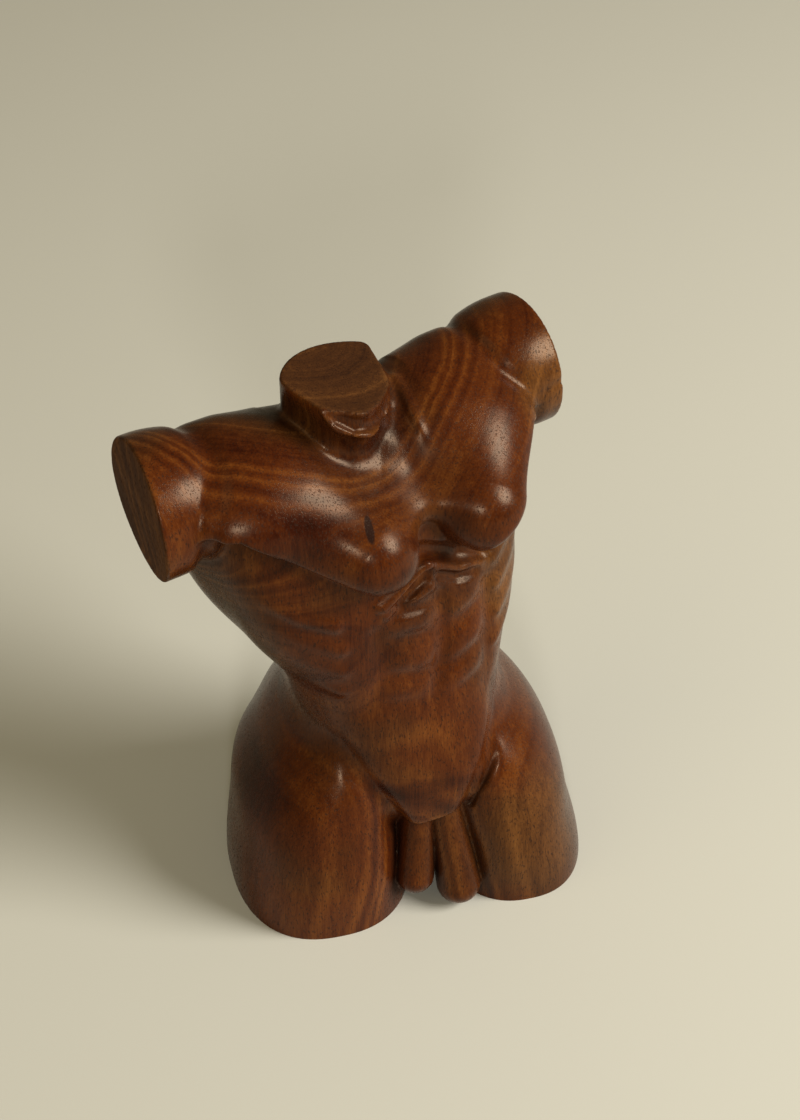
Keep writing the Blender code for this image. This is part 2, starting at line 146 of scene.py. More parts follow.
BROWNER = (  # parts of the block that are less red: middle and radii
    ((-18, 0, 95), (16, 14, 8)),
    ((-25, -10, 66), (12, 12, 14)),
    ((28, -2, 92), (12, 14, 14)),
    ((20, -20, 14), (12, 14, 20)),
    ((18, -10, 66), (8, 12, 18)),
)
ON_CUT = 0.12  # how near a cut's plane the skin counts as part of the cut
KNOT = (-7.4, -20.8, 86.0)
KNOT_RADII = (0.75, 4.0, 1.7)
FLECK = (-7.7, -18.4, 88.6)
FLECK_RADII = (0.7, 3.0, 1.2)
SHEEN = 0.16  # how strongly the oil mirrors what is round it
SHEEN_TINT = (1.0, 0.76, 0.52)
USUAL_TONE = 0.355  # where most of the wood lies between its darkest and its lightest parts
STREAK_TONE = 0.30  # how much the streaks along the grain change that
FIBRE_TONE = 0.40
WORN_TONE = 0.22  # how much lighter the worn edges are
PORES_SHOW = 0.65
PORE_COLOUR = (0.010, 0.003, 0.002)
FLECK_SHOWS = 0.6
FLECK_COLOUR = (0.20, 0.065, 0.014)
KNOT_SHOWS = 0.92
KNOT_COLOUR = (0.012, 0.005, 0.004)
HOLLOW_SHADE_SHOWS = 0.85  # painted shade: how strongly the hollows are darkened, standing in for the shade that falls in them
HOLLOW_SHADE_COLOUR = (0.006, 0.002, 0.0012)
SATIN = 0.25  # the roughness of the oiled wood
PORES_RELIEF = 0.0004  # in metres
RELIEF_SHOWS = 0.14
# The wood's colour from its darkest parts to its lightest: where it is red, and where it is brown
RED_WOOD = (
    (0.00, (0.0080, 0.0012, 0.0005)),
    (0.20, (0.0256, 0.0040, 0.0011)),
    (0.42, (0.0624, 0.0136, 0.0023)),
    (0.68, (0.1320, 0.0383, 0.0058)),
    (1.00, (0.2480, 0.0957, 0.0173)),
)
BROWN_WOOD = (
    (0.00, (0.0080, 0.0022, 0.0007)),
    (0.20, (0.0224, 0.0062, 0.0016)),
    (0.42, (0.0512, 0.0166, 0.0037)),
    (0.68, (0.1200, 0.0442, 0.0096)),
    (1.00, (0.2320, 0.1067, 0.0250)),
)


def ease(value, start, end):
    """0 below start, 1 above end, smooth in between."""
    share = np.clip((value - start) / (end - start), 0, 1)
    return share * share * (3 - 2 * share)


def spine_x(z):
    """Where the middle of the body is at height z."""
    return HIP_X - LEAN * ease(z, LEAN_FROM, LEAN_TO)


def straighten(p):
    """Takes points of the posed figure back to the upright one that the masses are set out on."""
    turn = TWIST * ease(p[2], TWIST_FROM, TWIST_TO)
    x = p[0] - spine_x(p[2])
    cos, sin = np.cos(turn), np.sin(turn)
    return np.stack([x * cos + p[1] * sin, p[1] * cos - x * sin, p[2]])


def offset(p, centre):
    return p - np.asarray(centre, np.float32).reshape(3, *[1] * (p.ndim - 1))


def mirrored(p, side):
    """The figure with its left side, or for side -1 its right side, on +x."""
    return np.stack([p[0] * side, p[1], p[2]])


def turned(q, axis, degrees):
    """Points turned about x, y or z (axis 0, 1 or 2), which tips a form the other way."""
    a, b = [(1, 2), (2, 0), (0, 1)][axis]
    cos, sin = math.cos(math.radians(degrees)), math.sin(math.radians(degrees))
    out = list(q)
    out[a] = q[a] * cos + q[b] * sin
    out[b] = q[b] * cos - q[a] * sin
    return np.stack(out)


def ellipsoid(p, centre, radii, turns=()):
    """Distance to an ellipsoid, tipped by (axis, degrees) turns."""
    q = offset(p, centre)
    for axis, degrees in turns:
        q = turned(q, axis, degrees)
    near = np.sqrt(sum((q[i] / radii[i]) ** 2 for i in range(3)))
    slope = np.sqrt(sum((q[i] / radii[i] ** 2) ** 2 for i in range(3)))
    return near * (near - 1) / np.maximum(slope, 1e-6)


def along(p, start, end):
    """How far along a line each point is, from 0 to 1, and how far from it."""
    line = np.subtract(end, start)
    q = offset(p, start)
    share = np.clip(sum(q[i] * line[i] for i in range(3)) / (line @ line), 0, 1)
    return share, np.sqrt(sum((q[i] - share * line[i]) ** 2 for i in range(3)))


def taper(p, start, end, radius_start, radius_end):
    """Distance to a round bar between two points, with a radius at each."""
    share, gap = along(p, start, end)
    return gap - (radius_start + (radius_end - radius_start) * share)


def stroke(p, path):
    """What a gouge adds along a path of x, y, z, width and height, or takes off where height is below 0."""
    best = np.zeros(p.shape[1:], np.float32)
    nearest = np.full(p.shape[1:], 1e9, np.float32)
    for start, end in zip(path, path[1:]):
        share, gap = along(p, start[:3], end[:3])
        width = start[3] + (end[3] - start[3]) * share
        height = start[4] + (end[4] - start[4]) * share
        near = (gap / width) ** 2
        best = np.where(near < nearest, height * np.exp(-np.minimum(near, 30)), best)
        nearest = np.minimum(near, nearest)
    return best


def smooth_through(z, heights, values):
    """A smooth curve through the values given at some heights, level beyond the first and the last."""
    slopes = np.gradient(values, heights)
    slopes[0] = slopes[-1] = 0
    z = np.clip(z, heights[0], heights[-1])
    i = np.clip(np.searchsorted(heights, z, side="right") - 1, 0, len(heights) - 2)
    step = (heights[i + 1] - heights[i]).astype(z.dtype)
    t = (z - heights[i]) / step
    t2, t3 = t * t, t * t * t
    return (
        (2 * t3 - 3 * t2 + 1) * values[i]
        + (t3 - 2 * t2 + t) * step * slopes[i]
        + (3 * t2 - 2 * t3) * values[i + 1]
        + (t3 - t2) * step * slopes[i + 1]
    )


def stack(p, rows):
    """Distance to a form given by its level sections.

    A row holds the height, the middle's x, half the width, the front, the back and how square the
    section is.
    """
    rows = np.array(rows, float)
    middle, wide, front, back, power = (smooth_through(p[2], rows[:, 0], rows[:, i]) for i in range(1, 6))
    centre_y = (back - front) / 2
    deep = (back + front) / 2
    u, v = np.abs(p[0] - middle) / wide, np.abs(p[1] - centre_y) / deep
    near = (u**power + v**power) ** (1 / power)
    slope = np.sqrt((u ** (power - 1) / wide) ** 2 + (v ** (power - 1) / deep) ** 2)
    slope = slope / np.maximum(near, 1e-3) ** (power - 1)
    form = (near - 1) / np.maximum(slope, 1 / (wide + deep))
    return np.maximum(form, p[2] - rows[-1, 0])


def join(a, b, blend):
    """Both forms, with a soft fillet where they meet."""
    share = np.clip(0.5 + 0.5 * (b - a) / blend, 0, 1)
    return b + (a - b) * share - blend * share * (1 - share)


def common(a, b, blend):
    """What two forms share, with a soft edge."""
    return -join(-a, -b, blend)


def thigh(m, middle, wide):
    """A thigh, whose cut end has its middle and half its width given."""
    rows = [
        (-6, middle, wide, 25.1, 14.0, 2.4),
        (0, middle, wide, 25.1, 14.0, 2.4),
        (12, 6.6 + 0.55 * middle, wide - 1.05, 24.9, 15.0, 2.3),
        (20, 14.8, 6.2 + 0.45 * wide, 23.6, 15.8, 2.3),
        (28, 12.7, 10.9, 21.2, 14.0, 2.2),
        (35, 9.8, 9.0, 17.4, 13.5, 2.1),
        (42, 8.0, 6.9, 13.0, 10.5, 2.1),
        (50, 7.0, 5.0, 7.0, 6.0, 2.1),
    ]
    return stack(m, rows)


def trunk(q):
    rows = [
        (12, 0.0, 8.0, 12.0, 10.0, 2.3),
        (20, 0.0, 13.0, 18.6, 14.0, 2.3),
        (30, 0.0, 17.4, 20.0, 14.0, 2.3),
        (40, 0.0, 16.9, 20.0, 12.5, 2.3),
        (50, -0.1, 18.9, 19.3, 12.0, 2.4),
        (60, -0.5, 23.2, 18.6, 13.0, 2.5),
        (70, -0.3, 25.4, 18.2, 14.0, 2.4),
        (78, 0.0, 26.0, 17.2, 13.2, 2.3),
        (84, 0.0, 24.6, 14.6, 10.6, 2.3),
        (90, 0.0, 17.0, 10.4, 5.6, 2.3),
        (96, 0.0, 7.0, 5.0, 2.6, 2.3),
    ]
    return stack(q, rows)


def arm(m, y, z, end_radius):
    """The stub of an arm, slightly fuller before its flat end."""
    places = np.array([14.0, 22.0, 24.0, 29.0, 34.0])
    radius = smooth_through(m[0], places, end_radius * np.array([0.68, 0.84, 0.89, 0.99, 1.0]))
    round_gap = np.hypot(m[1] - y, m[2] - z) - radius
    return np.maximum(round_gap, 12 - m[0])


def pec(m, x, y, z, radius, notch, rise):
    """Half of the chest: a round end over the ribs, which runs out to the arm and up to the collarbone."""
    form = ellipsoid(m, (0.7 * x + 4.4, -6.6, 83.8), (13.4, 12.0, 7.5), [(0, 30)])
    outer = ellipsoid(m, (18.4, -5.0, 88.6), (13.0, 11.2, 7.0), [(0, 24), (1, 8)])
    end = taper(m, (x, y, z), (x + 6, y + 8, z + 4.6), radius, radius - 1.4)
    form = join(join(form, outer, 4), end, 5)
    edge = 73.4 + 0.92 * np.clip(m[0] - rise, 0, 16)
    edge = edge + 2.6 * np.exp(-(((m[0] - x + notch) / 3.0) ** 2))
    under = (edge - m[2] - 0.1 * (m[1] + 21)) * 0.85
    return common(form, under, 0.7 + 2.0 * np.exp(-(((m[0] - x) / 6) ** 2)))


def neck(q):
    """The neck, flat on its sides and round behind, with its cut sloping down to the figure's left."""
    form = np.hypot(q[0] - 3.6, q[1] + 7.0) - 15.2
    for degrees, away in NECK_FACETS:
        way = math.radians(degrees)
        form = common(form, q[0] * math.cos(way) - q[1] * math.sin(way) - away, 1.5)
    top = (q[2] + NECK_SLOPE * q[0] - NECK_CUT) / math.hypot(1, NECK_SLOPE)
    return np.maximum(common(form, top, RIM), 80 - q[2])


def belly(q):
    """The lower belly, which narrows to a wedge with a crisp lower edge between the thighs."""
    rows = [
        (18, 1.7, 4.6, 21.2, 0.0, 4.0),
        (22, 1.7, 6.0, 21.6, 0.0, 4.0),
        (27, 1.6, 8.5, 21.8, 0.0, 3.8),
        (32, 1.5, 10.9, 21.6, 0.0, 3.4),
        (38, 1.0, 12.8, 20.9, 0.0, 3.0),
        (45, 0.0, 13.4, 20.0, 0.0, 2.6),
        (52, 0.0, 13.0, 18.6, 0.0, 2.4),
    ]
    form = stack(q, rows)
    floor = 20.7 + 0.26 * (q[0] - 1.0) + 0.55 * (q[1] + 21.6) - q[2]
    return common(form, floor, 0.5)


def lobes(q):
    """The two tapered lobes that hang below the belly's edge."""
    right = taper(q, (-0.2, -17.6, 21), (-1.5, -20.9, 7.6), 2.8, 3.3)
    root = taper(q, (-2.0, -16.0, 21), (-2.6, -19.6, 5.0), 1.8, 1.8)
    right = join(right, root, 0.8)
    left = taper(q, (4.0, -17.8, 22), (6.0, -21.6, 4.2), 3.0, 3.8)
    return join(right, left, 0.25)


def masses(q, sides):
    body = trunk(q)
    for m, (middle, wide) in zip(sides, THIGHS):
        body = join(body, thigh(m, middle, wide), 2.2)
        body = join(body, ellipsoid(m, (10.6, 9.2, 22.4), (10.2, 9.6, 11.0)), 2.5)
        body = join(body, ellipsoid(m, (18.2, 5.4, 71.5), (9.0, 8.4, 20.5), [(1, 12)]), 5)
    for m in sides:
        body = join(body, taper(m, (3, -0.4, 84.6), (19, 0.5, 87.6), 9.0, 9.2), 3)
        body = join(body, ellipsoid(m, (11.5, 8.6, 76.8), (8.4, 5.0, 8.4), [(1, -10)]), 5)
    for m, axis in zip(sides, ARMS):
        body = join(body, arm(m, *axis), 1.2)
    blend = 3.0 + 7.0 * ease(q[2], 77, 85)
    chest = join(pec(sides[0], *PECS[0]), pec(sides[1], *PECS[1]), blend)
    body = join(body, chest, 0.8)
    body = join(body, ellipsoid(q, (0.2, -4.6, 85.6), (8.6, 8.2, 7.0)), 4)
    return join(body, neck(q), 1.4)


def gouge(q, width, height, *points):
    """One stroke of even width and height through some points."""
    return stroke(q, [(*point, width, height) for point in points])


def arch_carving(q):
    """The arch of the ribs below the chest: a ridge to each side, with a hollow above and below it."""
    ridge = [(2.0, -18.6, 74.2), (4.4, -18.6, 72.2), (7.2, -18.5, 70.4), (11.7, -17.7, 69)]
    marks = gouge(q, 1.2, 0.5, *ridge)
    marks = marks + gouge(q, 0.8, -1.3, (3.8, -17.9, 70.4), (6.8, -17.8, 68.4), (9.9, -18.0, 67.8))
    marks = marks + gouge(q, 1.2, -2.3, (1.8, -17.4, 76.2), (4.9, -17.2, 74.4), (8.2, -17.1, 72.3))
    marks = marks + gouge(q, 1.2, -1.8, (8.6, -17.1, 72.1), (12.4, -17.0, 70.4))
    marks = marks + gouge(q, 1.2, 1.0, (1.7, -18.8, 74.1), (-1.5, -19.2, 72.5), (-6.8, -18.6, 69.4))
    marks = marks + gouge(q, 1.1, -1.2, (1.2, -18.1, 71.9), (-0.9, -17.9, 69.9), (-3.6, -17.9, 68.2))
    return marks + gouge(q, 0.8, 0.6, (1.6, -18.2, 69.2), (-0.8, -18.5, 68.7), (-6.5, -18.3, 67.4))


def belly_carving(q):
    """Three rows of muscle to each side of the belly's middle line, and the furrows round them."""
    marks = gouge(q, 1.3, -0.7, (2.9, -18.6, 67), (2.8, -18.8, 58), (2.0, -19.0, 51))
    marks = marks + gouge(q, 1.0, -0.4, (2.0, -19.0, 51), (1.3, -19.8, 43))
    for height, bulge in ((64.2, 0.7), (56.8, 0.7), (50.8, 0.5)):
        marks = marks + gouge(q, 2.5, bulge, (-3.2, -19.0, height + 0.5), (-1.6, -19.2, height - 0.1))
        marks = marks + gouge(q, 2.5, bulge, (6.2, -19.0, height - 0.4), (7.8, -18.5, height + 0.3))
        marks = marks + gouge(q, 1.4, -0.5 * bulge, (-6.0, -19.0, height - 2.4), (1.6, -19.0, height - 3.9))
        marks = marks + gouge(q, 1.4, -0.5 * bulge, (3.8, -19.0, height - 4.2), (10.2, -18.4, height - 2.3))
    marks = marks + gouge(q, 1.1, -0.6, (-5.0, -18.6, 67.0), (2.2, -18.5, 65.9))
    marks = marks + gouge(q, 1.6, -0.5, (-8.6, -18.0, 64), (-7.8, -19.0, 55), (-8.8, -19.3, 47))
    return marks + gouge(q, 1.6, -0.5, (12.0, -16.8, 64), (11.6, -17.4, 55), (12.2, -17.6, 46))


def trunk_carving(q, sides):
    """The strokes of the gouge over the ribs, the belly and the back."""
    marks = arch_carving(q) + belly_carving(q)
    marks = marks + stroke(q, [(0, 9, 92, 1.5, -0.4), (0, 14.5, 78, 2.0, -1.3), (0, 12, 50, 2.0, -1.5)])
    marks = marks + stroke(q, [(0, 12, 50, 2.0, -1.0), (0, 14, 34, 1.6, -1.0)])
    marks = marks + stroke(q, [(0, 15, 34, 1.2, -0.6), (0, 18, 26, 1.6, -3.6), (0.5, 18, 14, 2.0, -3.0)])
    for m in sides:
        for step in range(4):
            high = 73.0 - 5.2 * step
            rib = [(22.0 - 0.8 * step, -11.5 + 0.6 * step, high, 1.3, 0.2)]
            rib += [(18.6 - 0.7 * step, -13.9 + 0.5 * step, high - 2.6, 1.2, 1.1)]
            rib += [(14.4 - 0.4 * step, -16.4 + 0.3 * step, high - 5.0, 1.2, 0.9)]
            marks = marks + stroke(m, rib)
        fold = [(7, 16, 11, 1.6, -0.6), (15, 16.6, 10.4, 1.6, -0.9), (23, 14, 12, 1.6, -0.3)]
        marks = marks + stroke(m, fold)
        beside = [(4.2, 13.5, 36, 2.4, 0.7), (4.6, 12.5, 52, 2.4, 0.9), (5, 14.5, 68, 2.4, 0.4)]
        marks = marks + stroke(m, beside)
        blade = [(6, 14.5, 84, 1.8, -0.2), (6, 15.4, 78, 1.8, -0.4), (10, 15.6, 71, 2.0, -0.6)]
        marks = marks + stroke(m, blade)
    return marks


def shoulder_carving(q, sides):
    """Where the arms part from the chest, and the hollows beside the neck."""
    collar = [(-8.0, -8.2, 100.2, 0.6, 0.4), (-6.8, -9.6, 98.2, 0.7, 0.8), (-4.2, -11.2, 96.4, 0.7, 0.9)]
    collar += [(-1.2, -11.4, 95.4, 0.7, 0.9), (2.6, -9.4, 95.2, 0.6, 0.6), (5.2, -6.0, 96.4, 0.6, 0.3)]
    scoop = [(-5.4, -9.9, 99.0, 1.0, -0.6), (-2.4, -11.2, 97.6, 1.2, -0.9)]
    scoop += [(2.0, -9.6, 97.0, 1.2, -0.7), (5.0, -6.2, 97.0, 0.8, -0.3)]
    tendon = [(-6.6, -9.8, 97.4, 0.9, 0.5), (-5.2, -11.2, 94.4, 1.0, 0.9), (-2.0, -13.4, 91.2, 1.2, 0.3)]
    ridge = [(9.2, 0.5, 96.2, 0.8, 0.3), (8.3, -5.0, 94.8, 0.8, 0.6)]
    ridge += [(7.6, -9.4, 93.2, 0.9, 0.5), (7.0, -13, 91.2, 1.2, 0.2)]
    furrow = [(5.8, -6.6, 94.6, 0.9, -0.8), (4.2, -9.8, 93.2, 1.1, -1.2), (3.4, -12.8, 91.6, 1.4, -0.7)]
    dish = [(-3.4, -11.4, 92.4, 3.0, -0.9), (0.2, -12.2, 90.6, 3.4, -1.5), (3.0, -13.0, 89.4, 3.2, -1.0)]
    marks = stroke(q, collar) + stroke(q, scoop) + stroke(q, tendon) + stroke(q, ridge) + stroke(q, furrow)
    marks = marks + stroke(q, dish)
    beside = [(-10.6, -1.5, 98.0, 1.5, -0.7), (-9.2, -7.5, 96.6, 1.5, -1.3), (-7.4, -11.6, 94, 1.5, -0.6)]
    marks = marks + stroke(q, beside)
    for m in sides:
        valley = [(24.4, 11, 92, 1.3, -0.7), (23.0, 3, 96.8, 1.3, -0.8), (22.9, -2.5, 97.0, 1.2, -0.9)]
        valley += [(24.2, -7.6, 95.0, 1.2, -0.9), (26.6, -10.8, 92.3, 1.1, -0.8)]
        valley += [(28.8, -12.4, 89.0, 1.0, -0.6)]
        marks = marks + stroke(m, valley)
        crease = [(34.5, -10.4, 90.2, 0.6, -1.0), (30.4, -10.9, 89.6, 0.7, -1.2)]
        crease += [(28.4, -12.4, 88.6, 0.9, -1.2)]
        marks = marks + stroke(m, crease)
        pit = [(28.6, -11.5, 87.6, 1.0, -1.2), (28.6, -8.0, 81.5, 1.1, -1.0), (28.2, -3.0, 78.2, 1.2, -0.6)]
        marks = marks + stroke(m, pit)
    return marks


def hip_carving(q):
    """The creases where the thighs meet the belly, which deepen towards the wedge."""
    right = [(-15.5, -15, 40.5, 2.0, -0.2), (-11.6, -18.4, 35.3, 1.6, -0.7), (-8.9, -20.3, 29.8, 1.1, -0.9)]
    right += [(-6.2, -21.2, 25.4, 0.8, -1.0), (-4.0, -20.8, 20.6, 0.7, -0.8)]
    left = [(14.6, -16.0, 44, 1.8, -0.2), (13.6, -18.0, 37.4, 1.3, -0.7), (12.4, -19.0, 31.8, 1.1, -1.0)]
    left += [(10.4, -20.0, 27.1, 1.0, -1.0), (8.4, -20.2, 22.6, 0.8, -0.8)]
    return stroke(q, right) + stroke(q, left)


def cuts(q):
    """Forms taken out of the block with a crisp edge: above 0 inside them."""
    cleft = taper(q, (8.4, 0.8, 97.4), (4.7, -9.6, 94.4), 0.2, 1.6)
    rows = [
        (-8, GAP_X, GAP + 0.3, 40, 40, 2.0),
        (8, GAP_X, GAP, 40, 40, 2.0),
        (GAP_TOP, GAP_X, GAP * 0.4, 40, 40, 2.0),
    ]
    gap = stack(q, rows)
    return cleft, gap


def figure(p):
    """Signed distance, roughly, to the figure: below 0 inside."""
    q = straighten(p)
    sides = [mirrored(q, side) for side in (-1, 1)]
    body = masses(q, sides)
    crisp, gap = cuts(q)
    body = common(body, -crisp, 0.35)
    body = body - trunk_carving(q, sides) - shoulder_carving(q, sides)
    body = join(body, belly(q), 0.9) - hip_carving(q)
    body = common(body, -gap, 1.5)
    body = join(body, lobes(q), 0.5)
    for m, (out, back, up), axis, length in zip(sides, ARM_ENDS, ARMS, ARM_CUTS):
        end = (out * m[0] + back * m[1] + up * (m[2] - axis[1])) / math.hypot(out, back, up)
        body = common(body, end - length, RIM)
    return body


def skin(field, cell):
    """The surface where the field is zero, as corners and faces, in shares of the height."""
    low = np.array(BOX_LOW, np.float32)
    counts = [math.ceil((high - start) / cell / COARSE) for start, high in zip(BOX_LOW, BOX_HIGH)]
    middles = [low[i] + (np.arange(counts[i]) + 0.5) * COARSE * cell for i in range(3)]
    rough = field(np.stack(np.meshgrid(*middles, indexing="ij")).astype(np.float32))
    near = np.abs(rough) < NEAR * COARSE * cell
    values = np.sign(rough).astype(np.float32) * FAR
    for axis in range(3):
        near = np.repeat(near, COARSE, axis)
        values = np.repeat(values, COARSE, axis)
    places = np.argwhere(near)
    for start in range(0, len(places), BLOCK):
        some = places[start : start + BLOCK]
        values[tuple(some.T)] = field((some * cell + low).T.astype(np.float32))
    grid = openvdb.FloatGrid(FAR)
    grid.copyFromArray(np.ascontiguousarray(values))
    corners, quads = grid.convertToQuads()
    return corners * cell + low, quads


class Value:
    """A socket of a shader node. Python's operators on it add Math nodes."""

    def __init__(self, tree, socket=None):
        self.tree = tree
        self.socket = socket

    def node(self, kind, settings, sockets, output=0):
        """Adds a node. Its settings are set first, then each of its sockets gets a value or a link."""
        made = self.tree.nodes.new("ShaderNode" + kind)
        for name, value in settings.items():
            if name == "stops":
                set_stops(made.color_ramp, value)
            else:
                setattr(made, name, value)
        for name, value in sockets.items():
            if isinstance(value, Value):
                self.tree.links.new(value.socket, made.inputs[name])
            else:
                made.inputs[name].default_value = value
        return Value(self.tree, made.outputs[output])

    def math(self, operation, first, second=0.0):
        return self.node("Math", {"operation": operation}, {0: first, 1: second})

    def __add__(self, other):
        return self.math("ADD", self, other)

    def __sub__(self, other):
        return self.math("SUBTRACT", self, other)

    def __rsub__(self, other):
        return self.math("SUBTRACT", other, self)

    def __mul__(self, other):
        return self.math("MULTIPLY", self, other)

    def __truediv__(self, other):
        return self.math("DIVIDE", self, other)

    def __pow__(self, other):
        return self.math("POWER", self, other)

    __radd__ = __add__
    __rmul__ = __mul__

    def fraction(self):
        return self.math("FRACT", self)

    def size(self):
        return self.math("ABSOLUTE", self)

    def step(self, start, end, low=0.0, high=1.0):
        """low up to start, high from end, smooth in between."""
        sockets = {"Value": self, "From Min": start, "From Max": end, "To Min": low, "To Max": high}
        return self.node("MapRange", {"interpolation_type": "SMOOTHSTEP"}, sockets)

    def feed(self, node, socket):
        self.tree.links.new(self.socket, node.inputs[socket])


def set_stops(ramp, stops):
    while len(ramp.elements) < len(stops):
        ramp.elements.new(0.5)
    for element, (place, colour) in zip(ramp.elements, stops):
        element.position = place
        element.color = (*colour, 1)


def noise(at, scale, detail, rough):
    """Cloudy variation through the block, mostly near 0.5."""
    sockets = {"Vector": at, "Scale": scale, "Detail": detail, "Roughness": rough}
    return at.node("TexNoise", {"noise_dimensions": "3D"}, sockets)


def noise_along(value, scale, detail, rough):
    """The same along one value, such as the distance from the pith."""
    sockets = {"W": value, "Scale": scale, "Detail": detail, "Roughness": rough}
    return value.node("TexNoise", {"noise_dimensions": "1D"}, sockets)


def stretched(at, across, along_grain):
    """Coordinates scaled so that a pattern is drawn out along the grain, which runs upwards."""
    scale = (across, across, along_grain)
    return at.node("VectorMath", {"operation": "MULTIPLY"}, {0: at, 1: scale})


def mix(share, first, second):
    """The first colour where the share is 0, and the second where it is 1."""
    return share.node("Mix", {"data_type": "RGBA"}, {"Factor": share, 6: first, 7: second}, 2)


def patch(at, centre, radii, solid=0.35):
    """1 inside an egg-shaped patch of the block, which fades from solid outwards, and 0 outside it."""
    off = at.node("VectorMath", {"operation": "SUBTRACT"}, {0: at, 1: centre})
    off = off.node("VectorMath", {"operation": "DIVIDE"}, {0: off, 1: radii})
    return off.node("VectorMath", {"operation": "LENGTH"}, {0: off}, 1).step(solid, 1.0, 1.0, 0.0)


def from_pith(at, x, y, z):
    """How far each point is from the pith, which comes forward and to the middle below the ribs."""
    chest_x = x - (PITH_CHEST[0] + PITH_CHEST[1] * z)
    chest_y = y - (PITH_CHEST[2] + PITH_CHEST[3] * z)
    hips_y = y - (PITH_HIPS[0] + PITH_HIPS[1] * z)
    chest = (chest_x ** 2 + chest_y ** 2) ** 0.5
    hips = (x ** 2 + hips_y ** 2) ** 0.5 + PITH_STEP
    away = hips + (chest - hips) * z.step(PITH_FROM, PITH_TO)
    sway = stretched(at, 1.0, 0.5)
    return away + 1.6 * (noise(sway, 0.06, 2, 0.45) - 0.5) + 0.6 * (noise(sway, 0.3, 2, 0.5) - 0.5)


def year_rings(ring):
    """Broad dark and light years, narrow ones, and the thin late wood that ends each."""
    broad = noise_along(ring, 0.23, 2, 0.5).step(0.30, 0.70)
    years = noise_along(ring, 0.85, 3, 0.6).step(0.28, 0.72)
    late = (ring / 1.6 + noise_along(ring, 0.5, 1, 0.5)).fraction() ** 6.0
    return 0.15 * (broad - 0.5) + 0.09 * (years - 0.5) - 0.05 * late, years


def with_marks(tone, ring, block):
    """The tone with the years and the patches that stand at places of their own."""
    for distance, half_width, strength in YEARS:
        tone = tone + strength * (ring - distance).size().step(0.0, half_width, 1.0, 0.0)
    for centre, radii, strength in PATCHES:
        tone = tone + strength * patch(block, centre, radii)
    return tone


def brownness(block, cut):
    """0 where the wood is red, and 1 where it is brown, as on the cuts."""
    browner = noise(block, 0.05, 2, 0.5).step(0.42, 0.62, 0.0, 0.5)
    for centre, radii in BROWNER:
        browner = browner + 0.8 * patch(block, centre, radii)
    return (browner + cut).step(0.0, 1.0)


def attribute(start, name):
    """A number that the skin carries at each of its corners."""
    return start.node("Attribute", {"attribute_name": name}, {}, "Fac")


def oiled_wood():
    """Dark wood with broad, low-contrast rings, oiled to a satin sheen."""
    material = bpy.data.materials.new("oiled_wood")
    material.use_nodes = True
    tree = material.node_tree
    shader = tree.nodes["Principled BSDF"]
    shader.inputs["Specular IOR Level"].default_value = SHEEN
    shader.inputs["Specular Tint"].default_value = (*SHEEN_TINT, 1)
    start = Value(tree)
    worn, cut, hollow = (attribute(start, name) for name in ("worn", "cut", "hollow"))
    place = start.node("TexCoord", {}, {}, "Object")
    shares = place.node("VectorMath", {"operation": "SCALE"}, {0: place, "Scale": 1 / UNIT})
    block = shares.node("VectorMath", {"operation": "ADD"}, {0: shares, 1: (*MIDDLE, 0.0)})
    x, y, z = (block.node("SeparateXYZ", {}, {0: block}, i) for i in range(3))

    # Fibres, streaks and pores, drawn out along the grain
    fibres = noise(stretched(block, 3.4, 0.16), 1.0, 4, 0.6)
    streaks = noise(stretched(block, 0.8, 0.06), 1.0, 3, 0.55)
    pores = noise(stretched(block, 4.6, 1.2), 1.0, 1, 0.4).step(0.59, 0.67)

    # The rings are fainter in the thighs
    ring = from_pith(block, x, y, z)
    rings, years = year_rings(ring)
    tone = USUAL_TONE + rings * z.step(14, 44, 0.3, 1.0)
    tone = tone + STREAK_TONE * (streaks - 0.5) + FIBRE_TONE * (fibres - 0.5)
    tone = with_marks(tone, ring, block) + WORN_TONE * worn
    red = tone.node("ValToRGB", {"stops": RED_WOOD}, {"Fac": tone})
    brown = tone.node("ValToRGB", {"stops": BROWN_WOOD}, {"Fac": tone})
    wood = mix(brownness(block, cut), red, brown)
    for share, colour in (
        (pores * PORES_SHOW, PORE_COLOUR),
        (patch(block, FLECK, FLECK_RADII, 0.2) * FLECK_SHOWS, FLECK_COLOUR),
        (patch(block, KNOT, KNOT_RADII, 0.72) * KNOT_SHOWS, KNOT_COLOUR),
        # painted shade darkening the hollows
        (hollow * HOLLOW_SHADE_SHOWS, HOLLOW_SHADE_COLOUR),
    ):
        wood = mix(share, wood, (*colour, 1))
    wood.feed(shader, "Base Color")

    # The pores, the hollows and most of all the cuts are duller than the rest
    rough = SATIN + 0.12 * (fibres - 0.5) + 0.18 * pores + 0.20 * hollow + 0.55 * cut
    rough.feed(shader, "Roughness")
    height = fibres * 0.35 - pores + 0.2 * years
    relief = {"Strength": RELIEF_SHOWS, "Distance": PORES_RELIEF, "Height": height}
    height.node("Bump", {}, relief).feed(shader, "Normal")
    return material


def plain(name, colour, roughness):
    """A material of one even colour."""
    material = bpy.data.materials.new(name)
    material.use_nodes = True
    shader = material.node_tree.nodes["Principled BSDF"]
    shader.inputs["Base Color"].default_value = (*colour, 1)
    shader.inputs["Roughness"].default_value = roughness
    return material


def field_at(points):
    """The figure's distance at some points, worked out a block at a time."""
    out = np.empty(len(points), np.float32)
    for start in range(0, len(points), BLOCK):
        out[start : start + BLOCK] = figure(points[start : start + BLOCK].T.astype(np.float32))
    return out


def slope_at(points, reach):
    """The field's slope at some points, over a reach to each side."""
    slope = np.empty((len(points), 3), np.float32)
    for axis in range(3):
        step = np.zeros(3, np.float32)
        step[axis] = reach
        slope[:, axis] = (field_at(points + step) - field_at(points - step)) / (2 * reach)
    return slope


